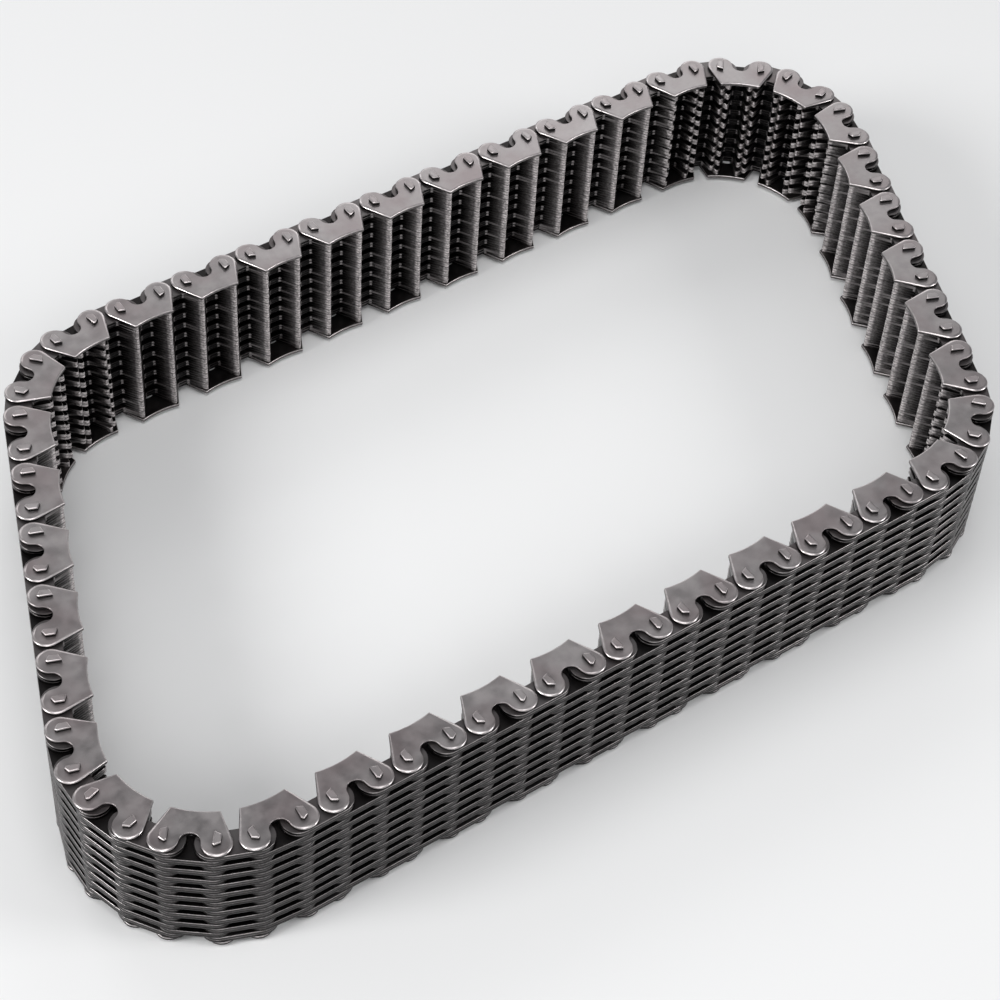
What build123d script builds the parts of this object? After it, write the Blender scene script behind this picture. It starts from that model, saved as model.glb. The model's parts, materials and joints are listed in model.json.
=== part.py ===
# Silent chain, an endless inverted tooth chain for a wide drive, lying on its side.
# Guide rows and inner rows take turns round the loop. Each row owns the two rocker pins
# at its ends, and at every joint the pins of the two rows roll on each other.
# X runs along the two long runs, Z is the width direction and Y points across the loop.
# The origin is the loop's centre, on the surface that the lower pin heads rest on.
# Lengths are in millimetres and angles in degrees.

import os
from math import acos, atan2, cos, degrees, hypot, radians, sin, tan

from build123d import *

# Half of the loop, counted in rows: the other half is the same, turned by 180 degrees
pitch = 9.525
long_run_rows = 19
narrow_corner_rows = 4
short_run_rows = 10
wide_corner_rows = 7

# How the loop bends at its corners
corner_joint_angle = 17.0
wide_corner_end_angle = 5.2
right_angle = 90

# Lacing across the chain, where a pack is a run of equal link plates lying face to face
link_thickness = 0.865
guide_row_plates = 18
inner_row_plates = 20
guide_row_packs = 1
pack_gap = 0.05
guide_thickness = 1.0

# Plate outline: a round lobe at each pin, and teeth that reach from the line of the joints
lobe_radius = 3.45
lobe_drop = 0.7
lobe_side_angle = 47.0
guide_toe_half_span = 5.35
toe_reach = 7.5
crotch_half_width = 1.35
crotch_reach = 1.9
guide_arc_sag = 0.6
notch_half_width = 1.45
notch_reach = 1.15

# Rocker pin section, from the pitch line where two pins meet to the seat in the plate
rolling_gap = 0.04
pin_width = 1.9
pin_height = 3.6
pin_seat_height = 2.2
tooth_side_relief = 3.5
back_side_relief = 15.5
pin_head = 0.9
short_pin_end_gap = 0.1

# Clearances of the pins in the plates
seat_gap = 0.02
pin_side_gap = 0.04
swing_clearance = 0.06
aperture_middle_angle = 184.0
aperture_corner_step = 66.0

# Joints of a run that are held straight, so that the two rows beside them share a node
held_in_long_run = (1, 4, 7, 10, 13, 16)
held_in_short_run = (1, 3, 5, 7)

# Worked out from the driving sizes
half_rows = long_run_rows + narrow_corner_rows + short_run_rows + wide_corner_rows
inner_corner_joints = wide_corner_rows + narrow_corner_rows - 2
narrow_corner_end_angle = right_angle - inner_corner_joints * corner_joint_angle / 2 - wide_corner_end_angle
inner_row_packs = guide_row_packs + 1
guide_pack_height = link_thickness * guide_row_plates / guide_row_packs
inner_pack_height = link_thickness * inner_row_plates / inner_row_packs
stack_bottom = pin_head + guide_thickness
stack_height = (
    guide_row_packs * (guide_pack_height + pack_gap)
    + inner_row_packs * (inner_pack_height + pack_gap)
    + pack_gap
)
stack_top = stack_bottom + stack_height
chain_height = stack_top + guide_thickness + pin_head
pin_front = rolling_gap / 2
pin_back = pin_front + pin_width
lobe_x = pitch / 2 + pin_front + pin_width / 2

# The teeth of neighbouring link plates line up in a straight run
link_toe_half_span = pitch / 2


def joint_turns():
    """The turn at each joint of half the loop, starting with the joints of a long run."""
    long_run = [0.0] * (long_run_rows - 1)
    narrow_corner = [corner_joint_angle] * (narrow_corner_rows - 1)
    short_run = [0.0] * (short_run_rows - 1)
    wide_corner = [corner_joint_angle] * (wide_corner_rows - 1)
    narrow_corner = [narrow_corner_end_angle] + narrow_corner + [narrow_corner_end_angle]
    wide_corner = [wide_corner_end_angle] + wide_corner + [wide_corner_end_angle]
    return long_run + narrow_corner + short_run + wide_corner


def row_places():
    """Each row's centre and heading, counter-clockwise round the whole loop."""
    x, y, heading = 0.0, 0.0, 0.0
    places = []
    for turn in joint_turns() * 2:
        step_x = pitch * cos(radians(heading))
        step_y = pitch * sin(radians(heading))
        places.append((x + step_x / 2, y + step_y / 2, heading))
        x += step_x
        y += step_y
        heading += turn
    middle_x = sum(place[0] for place in places) / len(places)
    middle_y = sum(place[1] for place in places) / len(places)
    return [(px - middle_x, py - middle_y, angle) for px, py, angle in places]


def held_joints():
    """Joints of half the loop that are held straight, counted from the first row."""
    first_short_run_joint = long_run_rows + narrow_corner_rows
    in_short_run = [first_short_run_joint + joint for joint in held_in_short_run]
    return list(held_in_long_run) + in_short_run


def lobe_corners(first_angle, toe_half_span):
    """Corners of the straight sides that follow a lobe's circle, as far as the tooth flank."""
    to_toe_x = toe_half_span - lobe_x
    to_toe_y = toe_reach + lobe_drop
    touch_to_toe = degrees(acos(lobe_radius / hypot(to_toe_x, to_toe_y)))
    last_angle = 360 + degrees(atan2(to_toe_y, to_toe_x)) - touch_to_toe
    sides = max(2, round((last_angle - first_angle) / lobe_side_angle))
    side_turn = (last_angle - first_angle) / sides
    outer_radius = lobe_radius / cos(radians(side_turn / 2))
    corner_radius = (lobe_radius + outer_radius) / 2
    corners = []
    for side in range(sides):
        angle = radians(first_angle + side_turn * (side + 0.5))
        corners.append((lobe_x + corner_radius * cos(angle), corner_radius * sin(angle) - lobe_drop))
    return corners


def both_halves(right_half, middle=()):
    """A closed outline from its right half, any points on the middle line, and the mirror image."""
    return right_half + list(middle) + [(-x, y) for x, y in reversed(right_half)]


def link_outline():
    """Link plate: flat back, a lobe at each end, and two toes with a crotch between them."""
    toe = (link_toe_half_span, toe_reach)
    crotch = (crotch_half_width, crotch_reach)
    return both_halves(lobe_corners(270, link_toe_half_span) + [toe, crotch])


def guide_outline():
    """Guide plate: lobes with a notch between them, and a hollow edge from toe to toe."""
    notch = (notch_half_width, notch_reach)
    toe = (guide_toe_half_span, toe_reach)
    return both_halves([notch] + lobe_corners(180, guide_toe_half_span) + [toe], [(0, toe_reach - guide_arc_sag)])


def pin_outline():
    """Rocker pin at a row's right end: two rolling faces that meet at the pitch line, and the seat."""
    half = pin_height / 2
    half_seat = pin_seat_height / 2
    corners = [
        (pin_front, 0),
        (pin_front + half * tan(radians(back_side_relief)), -half),
        (pin_back, -half_seat),
        (pin_back, half_seat),
        (pin_front + half * tan(radians(tooth_side_relief)), half),
    ]
    return [(pitch / 2 + x, y) for x, y in corners]


def aperture_outline():
    """Opening at a row's right end: the pin's seat, and room for the other pin to swing."""
    seat_x = pin_back + seat_gap
    seat_y = pin_seat_height / 2 + pin_side_gap
    swing_radius = hypot(pin_back, pin_seat_height / 2) + swing_clearance
    corner_radius = swing_radius / cos(radians(aperture_corner_step / 2))
    corners = [(seat_x, -seat_y), (seat_x, seat_y)]
    for step in (-1, 0, 1):
        angle = radians(aperture_middle_angle + step * aperture_corner_step)
        corners.append((corner_radius * cos(angle), corner_radius * sin(angle)))
    return [(pitch / 2 + x, y) for x, y in corners]


def guide_plate(bottom):
    with BuildPart() as plate:
        with BuildSketch(Plane.XY.offset(bottom)):
            Polygon(*guide_outline(), align=None)
            with BuildSketch(Plane.XY, mode=Mode.SUBTRACT):
                Polygon(*pin_outline(), align=None)
                offset(amount=seat_gap, kind=Kind.INTERSECTION)
                mirror(about=Plane.YZ)
        extrude(amount=guide_thickness)
    return plate.part


def link_pack(bottom, height):
    with BuildPart() as pack:
        with BuildSketch(Plane.XY.offset(bottom)):
            Polygon(*link_outline(), align=None)
            with BuildSketch(Plane.XY, mode=Mode.SUBTRACT):
                Polygon(*aperture_outline(), align=None)
                mirror(about=Plane.YZ)
        extrude(amount=height)
    return pack.part


def rocker_pins(bottom, top):
    with BuildPart() as pins:
        with BuildSketch(Plane.XY.offset(bottom)):
            Polygon(*pin_outline(), align=None)
            mirror(about=Plane.YZ)
        extrude(amount=top - bottom)
    return pins.part


def guide_row():
    """Two guide plates, the link packs between the inner row's packs, and two long riveted pins."""
    pieces = [guide_plate(pin_head), guide_plate(stack_top), rocker_pins(0, chain_height)]
    bottom = stack_bottom + pack_gap + inner_pack_height + pack_gap
    for number in range(guide_row_packs):
        pieces.append(link_pack(bottom, guide_pack_height))
        bottom += guide_pack_height + inner_pack_height + 2 * pack_gap
    return pieces


def inner_row():
    """Link packs between those of the guide rows, and two short pins held in by the guide plates."""
    pin_bottom = stack_bottom + short_pin_end_gap
    pieces = [rocker_pins(pin_bottom, stack_top - short_pin_end_gap)]
    bottom = stack_bottom + pack_gap
    for number in range(inner_row_packs):
        pieces.append(link_pack(bottom, inner_pack_height))
        bottom += inner_pack_height + guide_pack_height + 2 * pack_gap
    return pieces


def write_rows(name, numbers, places, row_kinds):
    """One node of one or two rows, each piece a separate solid in its place in the loop."""
    with BuildPart() as rows:
        for number in numbers:
            x, y, heading = places[number]
            row_place = Location((x, y, 0), (0, 0, heading))
            add([row_place * piece for piece in row_kinds[number % 2]])
    rows.part.label = name
    export_step(rows.part, f"parts/{name}.step")


def main():
    os.makedirs("parts", exist_ok=True)
    places = row_places()
    row_kinds = (inner_row(), guide_row())
    kind_names = ("inner_row", "guide_row")
    held = held_joints()
    number = 0
    while number < len(places):
        if number % half_rows in held:
            write_rows(f"row_pair_{number + 1:02d}_{number + 2:02d}", (number, number + 1), places, row_kinds)
            number += 2
        else:
            write_rows(f"{kind_names[number % 2]}_{number + 1:02d}", (number,), places, row_kinds)
            number += 1


main()
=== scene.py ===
import json
from math import acos, atan2, cos, degrees, hypot, pi, radians, sin, tan

import bpy
import numpy as np
from mathutils import Matrix, Vector
from mathutils.geometry import tessellate_polygon


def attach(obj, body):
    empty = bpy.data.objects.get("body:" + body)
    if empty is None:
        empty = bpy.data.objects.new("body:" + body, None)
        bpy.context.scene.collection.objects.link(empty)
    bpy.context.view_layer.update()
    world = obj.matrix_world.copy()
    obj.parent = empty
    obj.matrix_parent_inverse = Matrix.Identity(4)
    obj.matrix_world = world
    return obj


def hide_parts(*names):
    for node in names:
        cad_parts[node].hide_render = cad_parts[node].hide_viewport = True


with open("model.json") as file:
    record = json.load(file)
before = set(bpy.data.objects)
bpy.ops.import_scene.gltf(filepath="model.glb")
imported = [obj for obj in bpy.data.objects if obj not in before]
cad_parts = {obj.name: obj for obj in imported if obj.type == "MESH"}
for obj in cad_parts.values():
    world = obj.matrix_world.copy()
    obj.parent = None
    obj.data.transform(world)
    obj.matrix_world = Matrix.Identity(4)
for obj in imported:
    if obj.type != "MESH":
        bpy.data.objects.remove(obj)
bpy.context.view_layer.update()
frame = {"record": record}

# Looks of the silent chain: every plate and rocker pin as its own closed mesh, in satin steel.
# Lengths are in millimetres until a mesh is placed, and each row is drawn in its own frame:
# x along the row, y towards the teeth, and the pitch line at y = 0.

mm = 0.001
tiny = 1e-6
bevel_sides = 1
random = np.random.default_rng(80)

# The loop: half of its rows, and the turns of its corner joints in degrees
pitch = 9.525
long_run_rows = 19
narrow_corner_rows = 4
short_run_rows = 10
wide_corner_rows = 7
corner_joint_turn = 17.0
wide_corner_end_turn = 5.2
inner_corner_joints = wide_corner_rows + narrow_corner_rows - 2
narrow_corner_end_turn = 90 - inner_corner_joints * corner_joint_turn / 2 - wide_corner_end_turn

# The stack across the chain, from the floor up
pin_head = 0.9
guide_thickness = 1.0
stack_height = 33.07
link_plates = 38
plates_in_pair = 2
plate_gap = 0.02
link_step = stack_height / link_plates
stack_bottom = pin_head + guide_thickness
stack_top = stack_bottom + stack_height
chain_height = stack_top + guide_thickness + pin_head

# Rocker pin section
pin_front = 0.02
pin_width = 1.9
pin_back = pin_front + pin_width
pin_height = 3.6
pin_seat_height = 2.2
pin_corner_radius = 0.3
pin_corner_sides = 2
tooth_side_relief = 3.5
back_side_relief = 15.5
pin_end_bevel = 0.1
short_pin_end_gap = 0.1

# Riveted head of a long pin, from the middle of its lobe, x away from the row's middle
head_corners = ((-0.92, -1.45), (-0.45, -1.95), (0.92, -1.1), (0.92, 1.1), (-0.88, 1.85))
head_corner_radius = 0.2
head_rounding = 0.3
head_rounding_sides = 3
head_seat = 0.04

# Toes of both kinds of plate
toe_reach = 7.5
toe_sides = 3

# Guide plate outline
guide_lobe_x = pitch / 2 + pin_front + pin_width / 2
guide_lobe_radius = 3.45
guide_lobe_drop = 0.7
guide_lobe_sides = 16
guide_toe_half_span = 5.35
guide_toe_radius = 0.35
guide_arc_sag = 0.6
guide_arc_sides = 5
notch_reach = 1.15
notch_sides = 7

# Rolled rim of a guide plate's outer face, and the smaller edge of its inner face
lobe_rim = 0.75
toe_rim = 0.36
notch_rim = 0.12
rim_depth = 0.32
rim_sides = 4
toe_rim_start, toe_rim_end = 2.0, 5.0
notch_half_width = 4.2
notch_rim_fade = 1.6
notch_top = 3.0
lower_guide_edge = 0.25
lower_guide_edge_sides = 3
upper_guide_edge = 0.15

# Link plate outline
link_lobe_x = 4.81
link_lobe_radius = 3.95
link_lobe_drop = guide_lobe_drop + guide_lobe_radius - link_lobe_radius
link_lobe_sides = 10
link_toe_half_span = pitch / 2
link_toe_radius = 0.5
crotch_half_width = 1.65
crotch_reach = 2.4
crotch_radius = 0.9
crotch_sides = 4

# Opening of a link plate, with a seat for its own pin and room for the other pin to swing
seat_gap = 0.02
pin_side_gap = 0.04
swing_radius = 2.36
swing_start, swing_end = 106, 262
swing_sides = 6

# Edges of a link plate: the painted glint at the top of its wall, the share of edge wear and
# painted highlight that the lower plate of a pair keeps, the corner of its crotch where a painted
# highlight lies, and how far it may lie from its exact place
burr_bevel = 0.05
die_roll = 0.13
die_roll_sides = 2
shoulder_glint = 0.08
lower_plate_wear_and_glint = 0.4
crotch_corner_x = 1.55
crotch_corner_half_width = 0.35
plate_slack = (0.05, 0.06)

# Camera, as fitted to the pin heads in the photograph
camera_target = (-20.9, -27.6)
camera_distance = 603.3
camera_heading = 51.73
camera_elevation = 48.25
camera_roll = 4.29
focal_pixels = 2550
picture_pixels = 1000
sensor_width = 36
clip_start = 0.01

# Floor and lights in metres and watts: name, place, size, power
floor_half_size = 3.0
floor_grey = 0.86
floor_roughness = 0.9
lights = (
    ("top", (-0.2, -0.3, 1.6), 0.9, 7),
    ("back_right", (1.35, 1.65, 1.2), 1.3, 8),
    ("back_left", (0.05, 1.65, 1.2), 0.7, 3.5),
    ("left", (-1.3, 0.2, 0.85), 0.6, 12),
    ("right", (1.0, -1.0, 0.85), 0.6, 7),
    ("front", (-0.7, -0.9, 1.0), 0.5, 3),
)
world_colour = (0.9, 0.92, 0.95)
world_strength = 0.25


def row_places():
    """Each row's centre and heading, counter-clockwise round the loop, from the loop's centre."""
    long_run = [0.0] * (long_run_rows - 1)
    narrow_corner = [corner_joint_turn] * (narrow_corner_rows - 1)
    short_run = [0.0] * (short_run_rows - 1)
    wide_corner = [corner_joint_turn] * (wide_corner_rows - 1)
    narrow_corner = [narrow_corner_end_turn] + narrow_corner + [narrow_corner_end_turn]
    wide_corner = [wide_corner_end_turn] + wide_corner + [wide_corner_end_turn]
    x, y, heading = 0.0, 0.0, 0.0
    places = []
    for turn in (long_run + narrow_corner + short_run + wide_corner) * 2:
        step_x = pitch * cos(radians(heading))
        step_y = pitch * sin(radians(heading))
        places.append((x + step_x / 2, y + step_y / 2, heading))
        x += step_x
        y += step_y
        heading += turn
    middle_x = sum(place[0] for place in places) / len(places)
    middle_y = sum(place[1] for place in places) / len(places)
    return [(px - middle_x, py - middle_y, angle) for px, py, angle in places]


# Outlines, counter-clockwise

def arc(centre, radius, start, end, sides):
    """Points on an arc, both ends included, with angles in degrees."""
    points = []
    for side in range(sides + 1):
        angle = radians(start + (end - start) * side / sides)
        points.append((centre[0] + radius * cos(angle), centre[1] + radius * sin(angle)))
    return points


def rounded_corner(before, corner, after, radius, sides):
    """Points of the arc that rounds a convex corner."""
    before, corner, after = Vector(before), Vector(corner), Vector(after)
    back = (before - corner).normalized()
    ahead = (after - corner).normalized()
    half = back.angle(ahead) / 2
    centre = corner + (back + ahead).normalized() * (radius / sin(half))
    to_start = corner + back * radius / tan(half) - centre
    to_end = corner + ahead * radius / tan(half) - centre
    start = degrees(atan2(to_start.y, to_start.x))
    end = degrees(atan2(to_end.y, to_end.x))
    if end < start:
        end += 360
    return arc(centre, radius, start, end, sides)


def rounded_outline(corners, radius, sides):
    """A closed convex outline with all its corners rounded alike."""
    points = []
    for number, corner in enumerate(corners):
        after = corners[(number + 1) % len(corners)]
        points += rounded_corner(corners[number - 1], corner, after, radius, sides)
    return points


def at_row_end(points, end_x, side):
    """An outline moved to a row's right end (side 1), or mirrored to its left end (side -1)."""
    points = [(end_x + x, y) for x, y in points]
    if side < 0:
        points = [(-x, y) for x, y in reversed(points)]
    return points


def flank_angle(centre, radius, toe):
    """Where the straight tooth flank leaves the right lobe, in degrees."""
    to_toe = (toe[0] - centre[0], toe[1] - centre[1])
    touch_to_toe = degrees(acos(radius / hypot(*to_toe)))
    return 360 + degrees(atan2(to_toe[1], to_toe[0])) - touch_to_toe


def both_halves(right_half, middle=()):
    """A closed outline from its right half, any points on the middle line, and the mirror image."""
    return right_half + list(middle) + [(-x, y) for x, y in reversed(right_half)]


def link_outline():
    """Flat back, a lobe at each pin, and two toes with a rounded crotch between them."""
    toe = (link_toe_half_span, toe_reach)
    centre = (link_lobe_x, -link_lobe_drop)
    flank_start = flank_angle(centre, link_lobe_radius, toe)
    lobe = arc(centre, link_lobe_radius, 270, flank_start, link_lobe_sides)
    corner = (crotch_half_width, crotch_reach)
    crotch = rounded_corner((0, crotch_reach), corner, toe, crotch_radius, crotch_sides)[::-1]
    tip = rounded_corner(lobe[-1], toe, crotch[0], link_toe_radius, toe_sides)
    return both_halves(lobe + tip + crotch)


def guide_outline():
    """Lobes with a round notch between them, and a hollow edge from toe to toe."""
    toe = (guide_toe_half_span, toe_reach)
    centre = (guide_lobe_x, -guide_lobe_drop)
    radius = guide_lobe_radius
    rise = notch_reach - centre[1]
    notch_radius = (centre[0] ** 2 + rise ** 2 - radius ** 2) / (2 * (rise + radius))
    notch_centre = (0, notch_reach - notch_radius)
    notch_end = degrees(atan2(centre[1] - notch_centre[1], centre[0]))
    notch = arc(notch_centre, notch_radius, 90, notch_end, notch_sides)
    flank_start = flank_angle(centre, radius, toe)
    lobe = arc(centre, radius, 180 + notch_end, flank_start, guide_lobe_sides)
    arc_radius = (guide_toe_half_span ** 2 + guide_arc_sag ** 2) / (2 * guide_arc_sag)
    arc_centre = (0, toe_reach - guide_arc_sag + arc_radius)
    arc_half_turn = degrees(atan2(guide_toe_half_span, arc_radius - guide_arc_sag))
    hollow = arc(arc_centre, arc_radius, arc_half_turn - 90, -90, guide_arc_sides)
    tip = rounded_corner(lobe[-1], hollow[0], hollow[1], guide_toe_radius, toe_sides)
    half = notch[1:] + lobe[1:] + tip + hollow[1:-1]
    return both_halves(half, hollow[-1:]) + notch[:1]


def pin_outline(side):
    """Rocker pin: two rolling faces that meet at the pitch line, and the seat opposite them."""
    half = pin_height / 2
    half_seat = pin_seat_height / 2
    corners = [
        (pin_front, 0),
        (pin_front + half * tan(radians(back_side_relief)), -half),
        (pin_back, -half_seat),
        (pin_back, half_seat),
        (pin_front + half * tan(radians(tooth_side_relief)), half),
    ]
    points = rounded_outline(corners, pin_corner_radius, pin_corner_sides)
    return at_row_end(points, pitch / 2, side)


def head_outline(side):
    """Riveted head of a long pin: long on the row's inner side, short on its outer side."""
    points = rounded_outline(head_corners, head_corner_radius, pin_corner_sides)
    return at_row_end(points, guide_lobe_x, side)


def aperture_outline(side):
    """Opening of a link plate: the pin's seat, and room for the other pin."""
    seat_x = pin_back + seat_gap
    seat_y = pin_seat_height / 2 + pin_side_gap
    swing = arc((0, 0), swing_radius, swing_start, swing_end, swing_sides)
    return at_row_end([(seat_x, -seat_y), (seat_x, seat_y)] + swing, pitch / 2, side)


# Meshes

def inset(points, distance):
    """The outline moved into its own inside, with the distance given point by point."""
    points = np.array(points)
    edge = np.roll(points, -1, 0) - points
    edge /= np.linalg.norm(edge, axis=1)[:, None]
    normal = np.stack([-edge[:, 1], edge[:, 0]], 1)
    before = np.roll(normal, 1, 0)
    share = (before + normal) / (1 + (before * normal).sum(1))[:, None]
    return points + share * np.array(distance).reshape(-1, 1)


def edge_profile(bottom, top, low_depth, high_depth, low_sides, high_sides, glint_at_shoulder=0.0):
    """Rings from the lower face up: (share of the rim's width, height, edge wear with its painted
    glint, upper half).
    """
    rings = []
    # The edge value is real wear and a painted highlight in one: highest half-way round a rounded
    # edge, nothing on the faces, and the shoulder's value at the top of the wall.
    for side in range(low_sides + 1):
        turn = pi / 2 * side / low_sides
        wear_and_glint = sin(turn) if side < low_sides else 0
        rings.append((1 - sin(turn), bottom + low_depth * (1 - cos(turn)), wear_and_glint, 0))
    for side in range(high_sides + 1):
        turn = pi / 2 * (1 - side / high_sides)
        wear_and_glint = sin(turn) if side > 0 else glint_at_shoulder
        rings.append((1 - sin(turn), top - high_depth * (1 - cos(turn)), wear_and_glint, 1))
    return rings


class PlateMesh:
    """Vertices, faces, and edge wear with its painted glint, of pressed plates or pins, collected
    before they are placed.
    """

    def __init__(self):
        self.points = []
        self.faces = []
        self.smooth = []
        self.wear_and_glint = []
        self.wall = []
        self.inner = []
        self.plate_sizes = []
        self.count = 0

    def add_face(self, face, smooth, wall):
        self.faces.append(face)
        self.smooth.append(smooth)
        self.wall.append(wall)

    def add_plate(self, outline, holes, rings, low_width, high_width, inner=0.0):
        """One closed plate, whose rim is rounded as the rings say, with square-edged holes."""
        plate_start = self.count
        hole_rings = [(0, *rings[0][1:]), (0, *rings[-1][1:])]
        loops = [(outline, 1, rings)] + [(hole, -1, hole_rings) for hole in holes]
        caps = ([], [])
        cap_starts = ([], [])
        for points, way, levels in loops:
            size = len(points)
            start = self.count
            for share, height, wear_and_glint, upper in levels:
                width = high_width if upper else low_width
                ring = inset(points, share * np.array(width)) if share > tiny else np.array(points)
                self.points.append(np.c_[ring, np.full(size, height)])
                self.wear_and_glint.append(np.full(size, wear_and_glint))
                self.inner.append(np.full(size, inner))
            self.add_sides(start, size, levels, way)
            for cap, level in ((0, 0), (1, len(levels) - 1)):
                ring = self.points[level - len(levels)][:, :2]
                caps[cap].append([Vector((*point, 0)) for point in ring])
                cap_starts[cap].append(start + level * size)
            self.count += size * len(levels)
        for cap in (0, 1):
            self.add_cap(caps[cap], cap_starts[cap], cap == 1)
        self.plate_sizes.append(self.count - plate_start)

    def add_sides(self, start, size, levels, way):
        """The faces between the rings of one loop, which face outwards (way 1) or into a hole."""
        for level in range(len(levels) - 1):
            on_wall = levels[level][3] != levels[level + 1][3]
            low_ring = start + level * size
            high_ring = low_ring + size
            for corner in range(size):
                after = (corner + 1) % size
                face = [low_ring + corner, low_ring + after, high_ring + after, high_ring + corner]
                self.add_face(face if way > 0 else face[::-1], way > 0, on_wall)

    def add_cap(self, loops, starts, faces_up):
        """The flat face between the first or last rings of all loops of a plate."""
        numbers = []
        for loop, first in zip(loops, starts):
            numbers += range(first, first + len(loop))
        flat = [point for loop in loops for point in loop]
        for a, b, c in tessellate_polygon(loops):
            up = (flat[b] - flat[a]).cross(flat[c] - flat[a]).z > 0
            face = [numbers[a], numbers[b], numbers[c]]
            self.add_face(face if up == faces_up else face[::-1], False, False)

    def placed(self, name, place, slack=(0, 0)):
        """A mesh object in metres, at a row's place, each plate with its own slack and tone."""
        plates = len(self.plate_sizes)
        shift = np.zeros((plates, 3))
        shift[:, 0] = random.uniform(-slack[0], slack[0], plates)
        shift[:, 1] = random.uniform(0, slack[1], plates)
        tone = random.uniform(0, 1, plates)
        points = np.concatenate(self.points) + np.repeat(shift, self.plate_sizes, 0)
        from_middle, reach = abs(points[:, 0]), points[:, 1]
        in_crotch_corner = abs(from_middle - crotch_corner_x) < crotch_corner_half_width
        mesh = bpy.data.meshes.new(name)
        mesh.from_pydata(points.tolist(), [], self.faces)
        mesh.polygons.foreach_set("use_smooth", self.smooth)
        for label, domain, values in (
            ("wear_and_glint", "POINT", np.concatenate(self.wear_and_glint)),
            ("inner", "POINT", np.concatenate(self.inner)),
            ("reach", "POINT", reach),
            ("crotch", "POINT", in_crotch_corner & (reach > 0)),
            ("notch", "POINT", (from_middle < notch_half_width) & (reach < notch_top)),
            ("tone", "POINT", np.repeat(tone, self.plate_sizes)),
            ("wall", "FACE", np.array(self.wall)),
        ):
            layer = mesh.attributes.new(label, "FLOAT", domain)
            layer.data.foreach_set("value", values.astype(np.float32))
        mesh.transform(Matrix.Scale(mm, 4) @ place)
        mesh.update()
        piece = bpy.data.objects.new(name, mesh)
        bpy.context.scene.collection.objects.link(piece)
        return piece


def rim_width(points):
    """A wide rolled rim round the lobes, a narrower one at the toes, a sharp edge in the notch."""
    x, y = np.abs(np.array(points)[:, 0]), np.array(points)[:, 1]
    to_toes = np.clip((y - toe_rim_start) / (toe_rim_end - toe_rim_start), 0, 1)
    to_notch = np.clip((notch_half_width - x) / notch_rim_fade, 0, 1) * (y < toe_rim_start)
    width = lobe_rim + (toe_rim - lobe_rim) * to_toes
    return width + (notch_rim - width) * to_notch


def guide_plates():
    """The lower and the upper guide plate of a guide row."""
    plates = PlateMesh()
    outline = guide_outline()
    holes = [pin_outline(-1), pin_outline(1)]
    rim = rim_width(outline)
    edge, sides = lower_guide_edge, lower_guide_edge_sides
    lower = edge_profile(pin_head, stack_bottom, rim_depth, edge, rim_sides, sides)
    # The lower guide plate counts as inner, so its faces get painted shade
    plates.add_plate(outline, holes, lower, rim, edge, inner=1.0)
    edge, top = upper_guide_edge, stack_top + guide_thickness
    upper = edge_profile(stack_top, top, edge, rim_depth, bevel_sides, rim_sides)
    plates.add_plate(outline, holes, upper, edge, rim)
    return plates


def link_stack(guide_row):
    """All link plates of a row, laced in pairs with those of the rows beside it."""
    plates = PlateMesh()
    outline = link_outline()
    holes = [aperture_outline(-1), aperture_outline(1)]
    for number in range(link_plates):
        if (number // plates_in_pair) % 2 != int(guide_row):
            continue
        bottom = stack_bottom + number * link_step + plate_gap / 2
        top = bottom + link_step - plate_gap
        rings = edge_profile(
            bottom, top, burr_bevel, die_roll, bevel_sides, die_roll_sides, shoulder_glint)
        # The lower plate of each pair keeps only a share of its edge wear and painted highlight
        if number % plates_in_pair == 0:
            rings = [(share, z, wear_and_glint * lower_plate_wear_and_glint, upper) for share, z, wear_and_glint, upper in rings]
        # Plates between the top and the bottom pair count as inner, so their faces get painted
        # shade
        hidden = plates_in_pair <= number < link_plates - plates_in_pair
        plates.add_plate(outline, holes, rings, burr_bevel, die_roll, inner=float(hidden))
    return plates


def rocker_pins(bottom, top, with_heads):
    """The two pins of a row, with a riveted head at each end of a long pin."""
    pins = PlateMesh()
    bevel = pin_end_bevel
    seat, rounding, sides = head_seat / 2, head_rounding, head_rounding_sides
    for side in (-1, 1):
        shank = edge_profile(bottom, top, bevel, bevel, bevel_sides, bevel_sides)
        pins.add_plate(pin_outline(side), [], shank, bevel, bevel)
        if with_heads:
            lower = edge_profile(0.0, bottom + head_seat, rounding, seat, sides, bevel_sides)
            pins.add_plate(head_outline(side), [], lower, rounding, seat)
            upper = edge_profile(top - head_seat, chain_height, seat, rounding, bevel_sides, sides)
            pins.add_plate(head_outline(side), [], upper, seat, rounding)
    return pins


# Materials. The steels read these attributes of the meshes: wear of the edges, which also carries
# a painted glint; inner where a plate lies inside the chain, whose faces get painted shade; reach
# as the place along y; crotch and notch as spots on an outline; tone as each plate's own shade; and
# wall on the sides between two faces.

# Near black: painted shade on the faces of plates that lie inside the chain, and the colour of the
# random dark speckles on the walls
oil_and_shade = (0.010, 0.009, 0.009)
# Grey of the painted highlight on the bead at the corner of a link plate's crotch
crotch_bead_highlight = (0.30, 0.28, 0.28)
reach_tint = (1, 0.935, 0.93)
stain_tint = (1.05, 0.9, 0.92)

# Parts of a noise's range that are drawn out to full contrast
noise_range = (0.35, 0.65)
stain_range = (0.4, 0.7)
scratch_range = (0.3, 0.7)

# Shares in the colour of faces, walls and worn edges, whose wear carries a painted highlight
mottle_share, grain_share, plate_share = 0.4, 0.3, 0.3
stain_share = 0.5
# How far the faces inside the chain are painted dark as shade
inner_shade_share = 0.85
wall_oil_share = 0.65
least_speckled_wear_and_glint = 0.6
# Reach over which the flank window rises and falls, where a plate's tone takes painted highlight
# off its flank edges
flank_rise, flank_fall = (0, 3), (5.8, 6.4)

# Shares in the roughness and the relief
clouds_below, clouds_above = 0.06, 0.04
scratch_roughness = 0.03
scratch_relief = 0.5
relief_depth = 0.02 * mm


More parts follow.
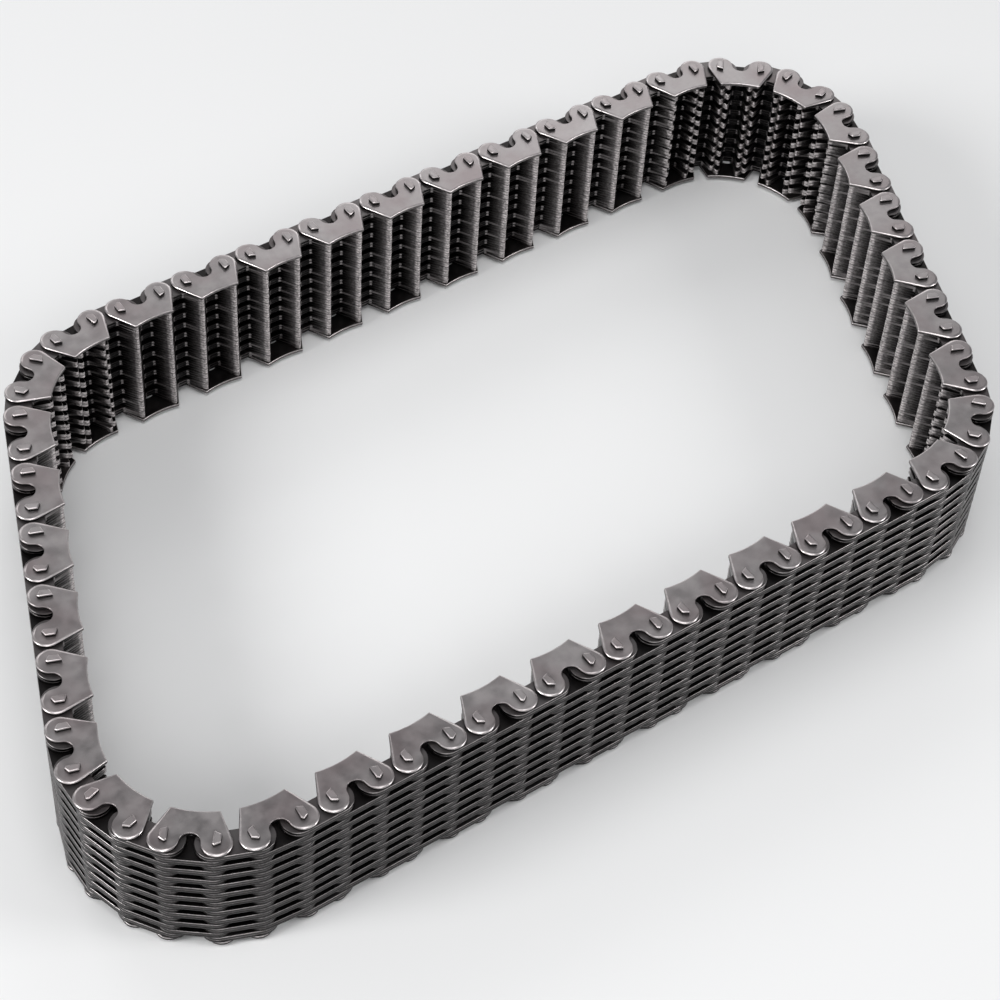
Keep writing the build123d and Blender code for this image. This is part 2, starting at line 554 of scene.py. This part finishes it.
def steel(name, face_dark, face_light, edge_glint_tones, wall_shade_tones,
          flank_fade, notch_wear_and_glint, roughness, edge_roughness, bump):
    """Satin steel with mottled tone, fine tumbling scratches, edges with wear and a painted
    highlight, and walls in painted shade.

    The edge and wall tone lists go to by_reach, which paints the edges' highlight and the walls'
    shade along the reach. flank_fade is the most that a plate's tone takes off the wear and painted
    highlight of its flanks, and the strength of the painted highlight in its crotch. The notch's
    share is how much of the wear and painted highlight is left in the notch.
    """
    material = bpy.data.materials.new(name)
    material.use_nodes = True
    nodes = material.node_tree.nodes
    links = material.node_tree.links
    shader = nodes["Principled BSDF"]
    shader.inputs["Metallic"].default_value = 1.0
    place = nodes.new("ShaderNodeTexCoord")

    def noise(scale, detail, stretch=(1, 1, 1), turn=0.0):
        mapping = nodes.new("ShaderNodeMapping")
        mapping.inputs["Scale"].default_value = stretch
        mapping.inputs["Rotation"].default_value = (0, 0, turn)
        links.new(place.outputs["Object"], mapping.inputs["Vector"])
        texture = nodes.new("ShaderNodeTexNoise")
        texture.inputs["Scale"].default_value = scale
        texture.inputs["Detail"].default_value = detail
        links.new(mapping.outputs["Vector"], texture.inputs["Vector"])
        return texture.outputs["Fac"]

    def attribute(label):
        node = nodes.new("ShaderNodeAttribute")
        node.attribute_name = label
        return node.outputs["Fac"]

    def ramp(value, low, high, low_value, high_value):
        node = nodes.new("ShaderNodeMapRange")
        node.inputs["From Min"].default_value = low
        node.inputs["From Max"].default_value = high
        node.inputs["To Min"].default_value = low_value
        node.inputs["To Max"].default_value = high_value
        links.new(value, node.inputs["Value"])
        return node.outputs["Result"]

    def blend(factor, first, second, kind="RGBA"):
        node = nodes.new("ShaderNodeMix")
        node.data_type = kind
        sockets = {socket.name: socket for socket in node.inputs if socket.enabled}
        links.new(factor, sockets["Factor"])
        for value, socket in ((first, sockets["A"]), (second, sockets["B"])):
            if isinstance(value, tuple):
                socket.default_value = (*value, 1)
            elif isinstance(value, float):
                socket.default_value = value
            else:
                links.new(value, socket)
        return next(socket for socket in node.outputs if socket.enabled)

    def combine(kind, first, second):
        node = nodes.new("ShaderNodeMath")
        node.operation = kind
        for value, socket in ((first, node.inputs[0]), (second, node.inputs[1])):
            if isinstance(value, float):
                socket.default_value = value
            else:
                links.new(value, socket)
        return node.outputs["Value"]

    def times(first, second):
        return combine("MULTIPLY", first, second)

    def by_reach(tones):
        """A grey that changes from the plate's back to its toes, as (place along y, grey) says."""
        first, last = tones[0][0], tones[-1][0]
        node = nodes.new("ShaderNodeValToRGB")
        elements = node.color_ramp.elements
        for where, grey in tones[1:-1]:
            elements.new((where - first) / (last - first))
        for element, (where, grey) in zip(elements, tones):
            element.color = (*(share * grey for share in reach_tint), 1)
        links.new(ramp(reach, first, last, 0, 1), node.inputs["Fac"])
        return node.outputs["Color"]

    on_wall = attribute("wall")
    reach = attribute("reach")
    plate_tone = attribute("tone")
    mottle = ramp(noise(scale=260, detail=5), *noise_range, 0, 1)
    stain = ramp(noise(scale=90, detail=2), *stain_range, 0, 1)
    speckle = ramp(noise(scale=1300, detail=3), *noise_range, 0, 1)
    grain = noise(scale=5200, detail=3)
    scratch = noise(scale=700, detail=4, stretch=(1, 5, 1), turn=0.5)

    # The edge wear and its painted highlight are speckled; on the tooth flanks each plate's tone
    # takes some of them off, as painted shade, and in the notch only a share of them is left
    on_flank = times(ramp(reach, *flank_rise, 0, 1), ramp(reach, *flank_fall, 1, 0))
    faded = times(on_flank, ramp(plate_tone, 0, 1, flank_fade, 0))
    worn_and_glinting = times(attribute("wear_and_glint"), combine("SUBTRACT", 1.0, faded))
    worn_and_glinting = times(worn_and_glinting, ramp(speckle, 0, 1, least_speckled_wear_and_glint, 1))
    worn_and_glinting = times(worn_and_glinting, ramp(attribute("notch"), 0, 1, 1, notch_wear_and_glint))

    tone = combine("ADD", times(mottle, mottle_share), times(grain, grain_share))
    tone = combine("ADD", tone, times(plate_tone, plate_share))
    face = blend(tone, face_dark, face_light)
    stained = tuple(value * share for value, share in zip(face_dark, stain_tint))
    face = blend(times(stain, stain_share), face, stained)
    # Faces of plates inside the chain are painted near black: painted shade
    face = blend(times(attribute("inner"), inner_shade_share), face, oil_and_shade)
    # Walls get painted shade that changes along the reach, speckled darker at random
    wall = blend(ramp(speckle, 0, 1, 0, wall_oil_share), by_reach(wall_shade_tones), oil_and_shade)
    # A painted highlight on the bead at the crotch's corner, as strong as the flank fade
    wall = blend(times(attribute("crotch"), flank_fade), wall, crotch_bead_highlight)
    # Edges take the edge colour along the reach: wear and a painted highlight, which on link plates
    # is near black between the back and the toe tips
    surface = blend(worn_and_glinting, blend(on_wall, face, wall), by_reach(edge_glint_tones))
    links.new(surface, shader.inputs["Base Color"])

    clouds = ramp(mottle, 0, 1, roughness - clouds_below, roughness + clouds_above)
    scratches = ramp(scratch, *scratch_range, -scratch_roughness, scratch_roughness)
    face_roughness = combine("ADD", clouds, scratches)
    surface_roughness = blend(worn_and_glinting, face_roughness, edge_roughness, "FLOAT")
    links.new(surface_roughness, shader.inputs["Roughness"])

    height = combine("ADD", times(scratch, scratch_relief), combine("ADD", grain, mottle))
    relief = nodes.new("ShaderNodeBump")
    relief.inputs["Strength"].default_value = bump
    relief.inputs["Distance"].default_value = relief_depth
    links.new(height, relief.inputs["Height"])
    links.new(relief.outputs["Normal"], shader.inputs["Normal"])
    return material


# Guide walls are painted shade, near black at the back and lighter towards the toes; in the notch a
# quarter of the edge wear and painted highlight is left
guide_steel = steel(
    "guide_steel",
    face_dark=(0.27, 0.252, 0.252),
    face_light=(0.50, 0.467, 0.467),
    edge_glint_tones=((-5, 0.85), (8, 0.85)),
    wall_shade_tones=((-5, 0.02), (3, 0.03), (6, 0.22), (8, 0.22)),
    flank_fade=0.0, notch_wear_and_glint=0.25, roughness=0.40, edge_roughness=0.28, bump=0.2,
)
# Link edges: painted highlight, bright at the back and the toe tips and near black between; link
# walls: painted shade, near black deep in and lighter towards the tips
link_steel = steel(
    "link_steel",
    face_dark=(0.11, 0.103, 0.103),
    face_light=(0.18, 0.168, 0.168),
    edge_glint_tones=((-4.2, 0.95), (-3.3, 0.60), (-2.3, 0.01), (3.0, 0.01),
                (4.8, 0.14), (6.0, 0.60), (6.6, 0.95)),
    wall_shade_tones=((-4.2, 0.010), (-3.2, 0.008), (-2.2, 0.003), (2.8, 0.003),
                (4.5, 0.06), (5.9, 0.2), (6.5, 0.8)),
    flank_fade=0.85, notch_wear_and_glint=1.0, roughness=0.38, edge_roughness=0.32, bump=0.2,
)
# Pin walls are near black all along: painted shadow on the sides of the heads
pin_steel = steel(
    "pin_steel",
    face_dark=(0.36, 0.337, 0.337),
    face_light=(0.50, 0.467, 0.467),
    edge_glint_tones=((-5, 0.9), (8, 0.9)),
    wall_shade_tones=((-5, 0.012), (8, 0.012)),
    flank_fade=0.0, notch_wear_and_glint=1.0, roughness=0.42, edge_roughness=0.25, bump=0.15,
)


# The chain

def dress(piece, material, body, node):
    """Give a piece its material and slot, let it ride on its body and stand for the CAD node."""
    piece.data.materials.append(material)
    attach(piece, body)
    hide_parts(node)


def body_rows():
    """The body and node of each row, read from the nodes' names."""
    found = {}
    for body, nodes in frame["record"]["behaviour"]["bodies"].items():
        for node in nodes:
            for word in node.split("_"):
                if word.isdigit():
                    found[int(word)] = (body, node)
    return found


guides = guide_plates()
guide_row_links = link_stack(True)
inner_row_links = link_stack(False)
long_pins = rocker_pins(pin_head, chain_height - pin_head, True)
short_pins = rocker_pins(stack_bottom + short_pin_end_gap, stack_top - short_pin_end_gap, False)
owners = body_rows()
for number, (x, y, heading) in enumerate(row_places(), 1):
    body, node = owners[number]
    place = Matrix.Translation((x, y, 0)) @ Matrix.Rotation(radians(heading), 4, "Z")
    if number % 2 == 0:
        piece = guides.placed(f"guide_plates_{number:02d}", place)
        dress(piece, guide_steel, body, node)
        piece = long_pins.placed(f"long_pins_{number:02d}", place)
        dress(piece, pin_steel, body, node)
        links_of_row = guide_row_links
    else:
        piece = short_pins.placed(f"short_pins_{number:02d}", place)
        dress(piece, pin_steel, body, node)
        links_of_row = inner_row_links
    piece = links_of_row.placed(f"link_plates_{number:02d}", place, plate_slack)
    dress(piece, link_steel, body, node)


# Floor, camera and lights

def make_floor():
    half = floor_half_size
    corners = [(-half, -half, 0), (half, -half, 0), (half, half, 0), (-half, half, 0)]
    mesh = bpy.data.meshes.new("floor")
    mesh.from_pydata(corners, [], [(0, 1, 2, 3)])
    floor = bpy.data.objects.new("floor", mesh)
    bpy.context.scene.collection.objects.link(floor)
    material = bpy.data.materials.new("floor")
    material.use_nodes = True
    shader = material.node_tree.nodes["Principled BSDF"]
    shader.inputs["Base Color"].default_value = (floor_grey, floor_grey, floor_grey, 1)
    shader.inputs["Roughness"].default_value = floor_roughness
    mesh.materials.append(material)


def make_camera():
    heading = radians(camera_heading)
    tilt = radians(camera_elevation)
    forward = Vector((cos(heading) * cos(tilt), sin(heading) * cos(tilt), -sin(tilt)))
    level_right = Vector((sin(heading), -cos(heading), 0))
    level_up = level_right.cross(forward)
    roll = radians(camera_roll)
    right = cos(roll) * level_right + sin(roll) * level_up
    up = cos(roll) * level_up - sin(roll) * level_right
    place = Vector((*camera_target, chain_height)) - camera_distance * forward
    facing = Matrix((right, up, -forward)).transposed().to_4x4()
    camera = bpy.data.objects.new("camera", bpy.data.cameras.new("camera"))
    bpy.context.scene.collection.objects.link(camera)
    camera.matrix_world = Matrix.Translation(place * mm) @ facing
    camera.data.sensor_width = sensor_width
    camera.data.lens = sensor_width * focal_pixels / picture_pixels
    camera.data.clip_start = clip_start
    bpy.context.scene.camera = camera


def make_light(name, place, size, watts):
    """A round soft light that faces the loop's centre."""
    light = bpy.data.lights.new(name, "AREA")
    light.shape = "DISK"
    light.size = size
    light.energy = watts
    lamp = bpy.data.objects.new(name, light)
    bpy.context.scene.collection.objects.link(lamp)
    lamp.location = place
    lamp.rotation_euler = (-Vector(place)).to_track_quat("-Z", "Y").to_euler()


def make_world():
    world = bpy.data.worlds.new("studio")
    bpy.context.scene.world = world
    world.use_nodes = True
    background = world.node_tree.nodes["Background"]
    background.inputs["Color"].default_value = (*world_colour, 1)
    background.inputs["Strength"].default_value = world_strength


make_floor()
make_camera()
for light in lights:
    make_light(*light)
make_world()
bpy.context.scene.view_settings.view_transform = "Standard"
